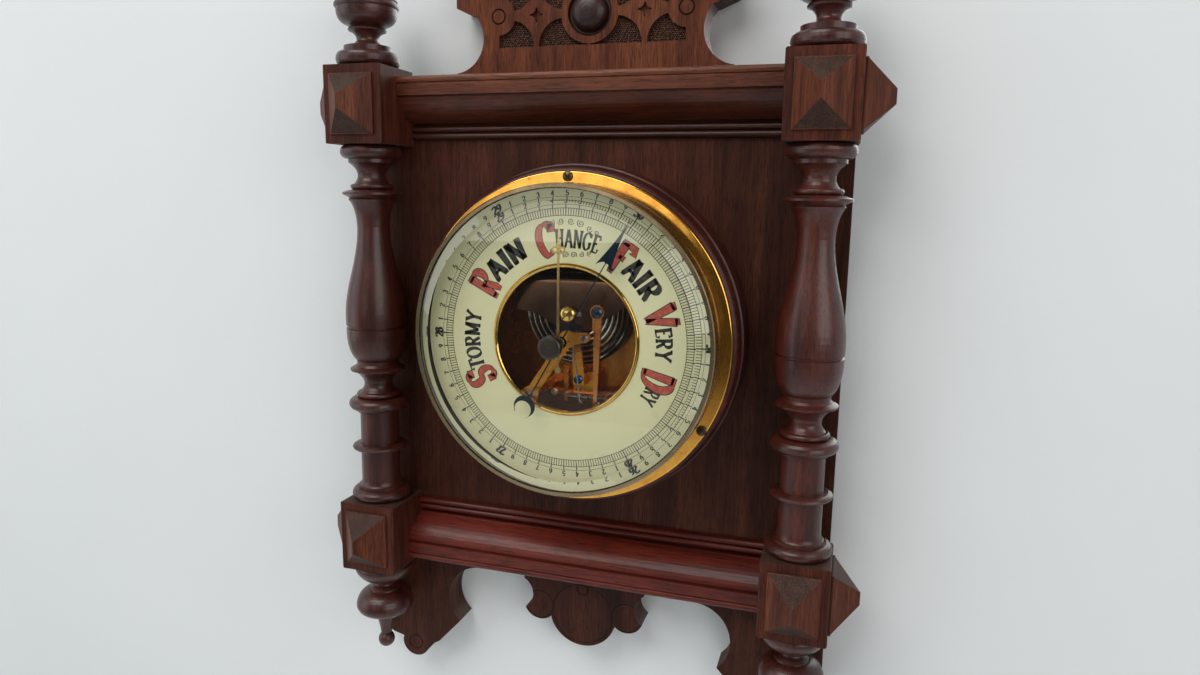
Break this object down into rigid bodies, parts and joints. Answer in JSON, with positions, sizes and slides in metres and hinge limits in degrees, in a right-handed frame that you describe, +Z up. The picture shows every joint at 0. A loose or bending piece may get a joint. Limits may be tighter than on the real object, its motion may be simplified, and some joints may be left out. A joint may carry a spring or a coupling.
{
  "type": "wall barometer",
  "caption": "Wall barometer: carved wooden case with turned columns, and an aneroid movement seen through the open middle of its dial.",
  "frame": {"origin": "on the wall, on the axis of the dial: the point of the flat back that lies behind the hands' pivot", "axes": "+X to the viewer's right, +Y into the wall, +Z up; the dial faces -Y"},
  "size_m": [0.294, 0.0726, 0.4153],
  "materials": {
    "carved_wood": "waxed walnut, satin",
    "turned_wood": "dark red-brown, glossy",
    "brass": "lacquered, lightly scratched",
    "dull_brass": "aged, satin",
    "copper": "copper coloured, satin",
    "silvered": "silvered, satin",
    "dark_steel": "browned spring steel",
    "steel": "polished",
    "blued_steel": "blued",
    "enamel": "cream enamel, glossy",
    "glass": "clear, bevelled"
  },
  "bodies": {
    "case": {"back_board": "carved_wood", "crest_board": "carved_wood", "apron_board": "carved_wood", "top_moulding": "carved_wood", "bottom_moulding": "carved_wood", "top_bead_strip": "carved_wood", "bottom_bead_strip": "carved_wood", "top_left_block": "carved_wood", "top_right_block": "carved_wood", "bottom_left_block": "carved_wood", "bottom_right_block": "carved_wood", "dial_surround": "carved_wood", "crest_boss": "turned_wood", "front_pyramids": "turned_wood", "side_pyramids": "turned_wood", "left_column": "turned_wood", "right_column": "turned_wood", "left_finial": "turned_wood", "right_finial": "turned_wood", "left_pendant": "turned_wood", "right_pendant": "turned_wood", "brass_case": "brass", "flange_screws": "brass", "glass_bezel": "brass", "dial_opening_ring": "brass", "frame_screws": "brass", "arbor_bridge": "brass", "arbor_cock": "brass", "dial_feet": "dull_brass", "base_plate": "dull_brass", "base_plate_feet": "dull_brass", "spring_bridge": "dull_brass", "rocker_frame": "dull_brass", "hairspring_stud": "dull_brass", "hanging_plate": "dull_brass", "hanging_screws": "dull_brass", "capsule": "silvered", "mainspring": "dark_steel", "spring_screws": "blued_steel", "cock_screw": "blued_steel", "bridge_screws": "blued_steel", "hairspring": "blued_steel", "dial": "enamel", "glass": "glass"},
    "hand": {"hand_arbor": "steel", "pressure_hand": "blued_steel", "hand_collet": "brass"},
    "rocker": {"rocking_arbor": "steel"},
    "chain_run": {"chain": "steel"},
    "lever": {"main_lever": "copper", "lever_screw": "blued_steel", "connecting_link": "steel"},
    "stud": {"capsule_stud": "dull_brass", "knife_edge": "steel"},
    "set_hand_and_knob": {"set_hand": "brass", "set_hand_knob": "brass"},
    "adjuster": {"adjusting_screw": "steel"}
  },
  "joints": [
    {"name": "hand_turn", "type": "hinge", "parent": "case", "child": "hand", "pos_m": [0, -0.05, 0], "axis": [0, 1, 0], "range_deg": [-239.5, 60.5], "stiffness_Nm_per_rad": 0.005, "deforming": ["hairspring"]},
    {"name": "rocker_swing", "type": "hinge", "parent": "case", "child": "rocker", "pos_m": [0.006, -0.0295, -0.0325], "axis": [1, 0, 0], "range_deg": [-27.37, 6.92]},
    {"name": "chain_pull", "type": "slide", "parent": "case", "child": "chain_run", "axis": [-0.1297, 0, 0.9916], "range_m": [-0.00132, 0.00507]},
    {"name": "lever_swing", "type": "hinge", "parent": "case", "child": "lever", "pos_m": [0.0135, -0.0314, 0.0275], "axis": [1, 0, 0], "range_deg": [-1.3, 0.33], "deforming": ["mainspring"]},
    {"name": "stud_lift", "type": "slide", "parent": "case", "child": "stud", "axis": [0, 1, 0], "range_m": [-0.000363, 0.000099], "deforming": ["capsule"]},
    {"name": "set_hand_turn", "type": "hinge", "parent": "case", "child": "set_hand_and_knob", "pos_m": [0, -0.06, 0], "axis": [0, 1, 0], "continuous": true},
    {"name": "adjusting_screw_turn", "type": "hinge", "parent": "case", "child": "adjuster", "pos_m": [-0.0015, -0.013, 0.012], "axis": [0, 1, 0], "range_deg": [-180, 180]}
  ],
  "couplings": [
    {"joint": "rocker_swing", "follows": "hand_turn", "ratio": 0.11429},
    {"joint": "chain_pull", "follows": "hand_turn", "m_per_rad": -0.0012},
    {"joint": "lever_swing", "follows": "hand_turn", "ratio": 0.005442},
    {"joint": "stud_lift", "follows": "hand_turn", "m_per_rad": 0.0000844}
  ]
}
